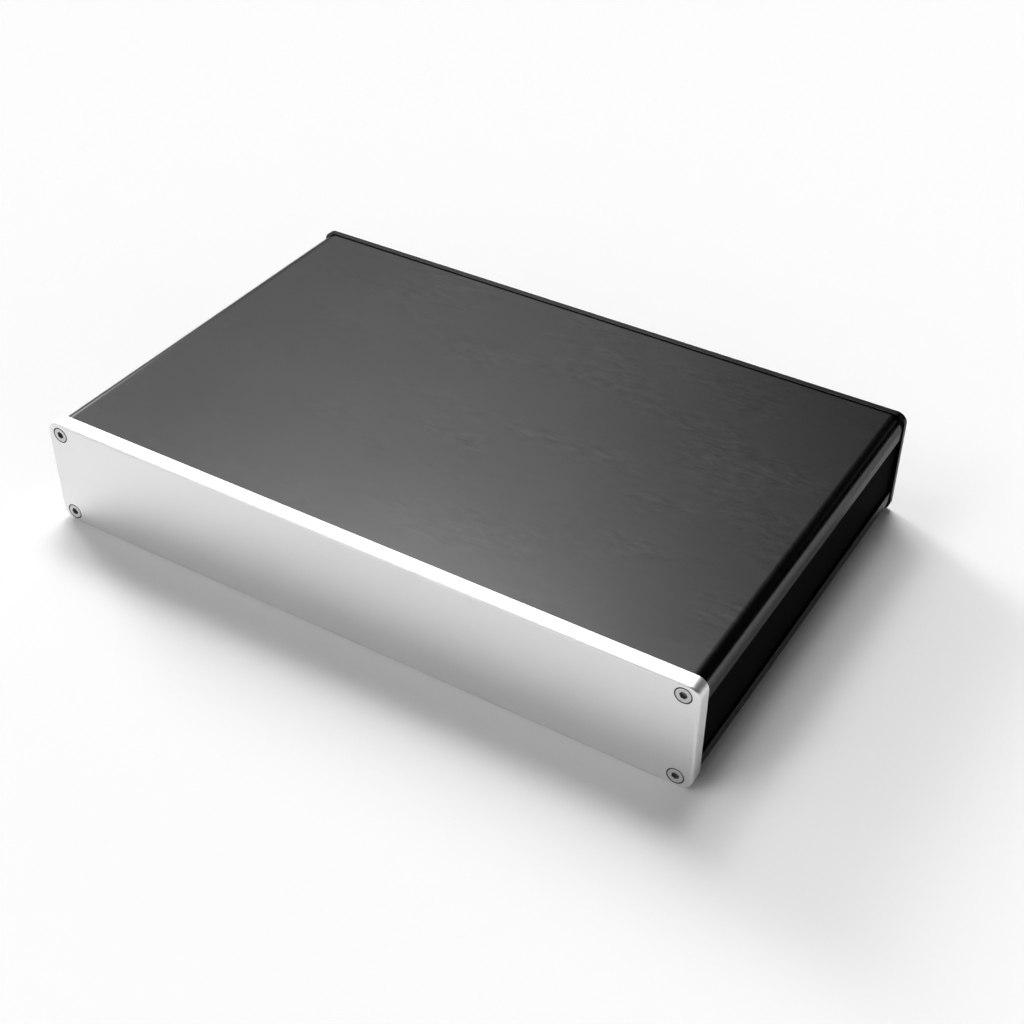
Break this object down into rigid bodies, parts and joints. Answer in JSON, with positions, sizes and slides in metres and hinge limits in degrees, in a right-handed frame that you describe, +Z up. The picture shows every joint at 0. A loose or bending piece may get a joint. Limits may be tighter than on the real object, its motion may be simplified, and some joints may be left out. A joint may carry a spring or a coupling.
{
  "type": "amplifier chassis",
  "caption": "Empty low amplifier chassis: extruded black covers and sliding side panels closed by a thick bright front panel and a thin rear panel, held by socket screws.",
  "frame": {"origin": "below the middle of the case, on the surface that the end panels stand on", "axes": "+X to the right seen from the front, +Y from the front panel to the rear panel, +Z up"},
  "size_m": [0.259, 0.168, 0.043],
  "materials": {
    "bright_alloy": "silver satin anodised",
    "black_alloy": "black anodised, lightly brushed across",
    "dull_black_alloy": "dull black anodised",
    "bright_steel": "plain stainless steel",
    "black_steel": "black oxide"
  },
  "bodies": {
    "root": {"front_panel": "bright_alloy", "rear_panel": "black_alloy", "top_cover": "black_alloy", "bottom_cover": "black_alloy", "left_side_panel": "dull_black_alloy", "right_side_panel": "dull_black_alloy", "front_screws": "bright_steel", "rear_screws": "black_steel"}
  },
  "joints": []
}
